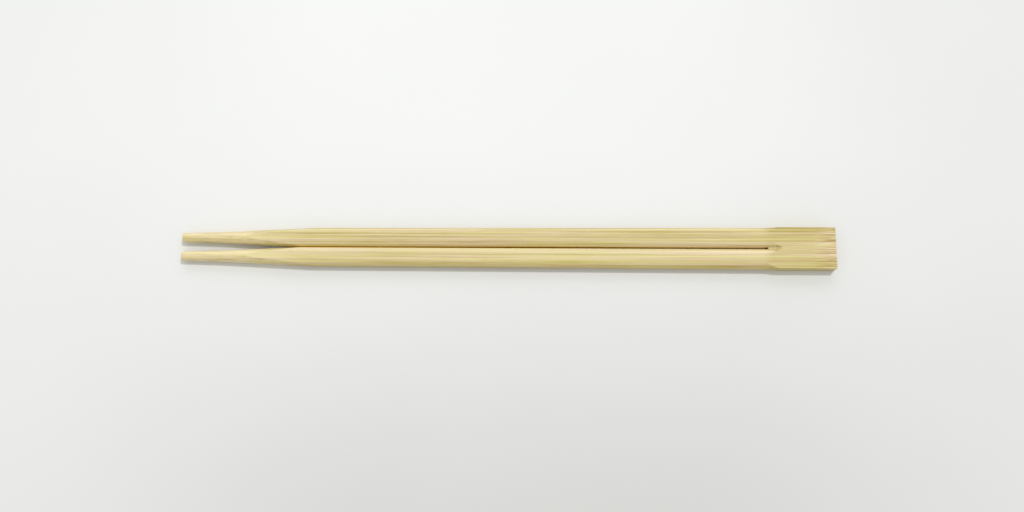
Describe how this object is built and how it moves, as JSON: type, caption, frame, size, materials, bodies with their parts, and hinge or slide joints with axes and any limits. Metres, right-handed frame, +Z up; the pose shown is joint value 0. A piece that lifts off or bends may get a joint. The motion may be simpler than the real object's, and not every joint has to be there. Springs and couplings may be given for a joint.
{
  "type": "pair of bamboo chopsticks",
  "caption": "Disposable bamboo chopsticks still joined at a flat rectangular head: slim round-sided sticks parted by a narrow saw slit, tapering to round tips.",
  "frame": {"origin": "middle of the footprint, on the surface that the pair lies on", "axes": "+X along the length from the tips to the head, +Y across the pair, +Z up out of the flat of the head"},
  "size_m": [0.21, 0.0134, 0.0044],
  "materials": {
    "bamboo": "raw dry bamboo, satin, with fine straight fibres"
  },
  "bodies": {
    "root": {"chopstick_pair": "bamboo"}
  },
  "joints": []
}
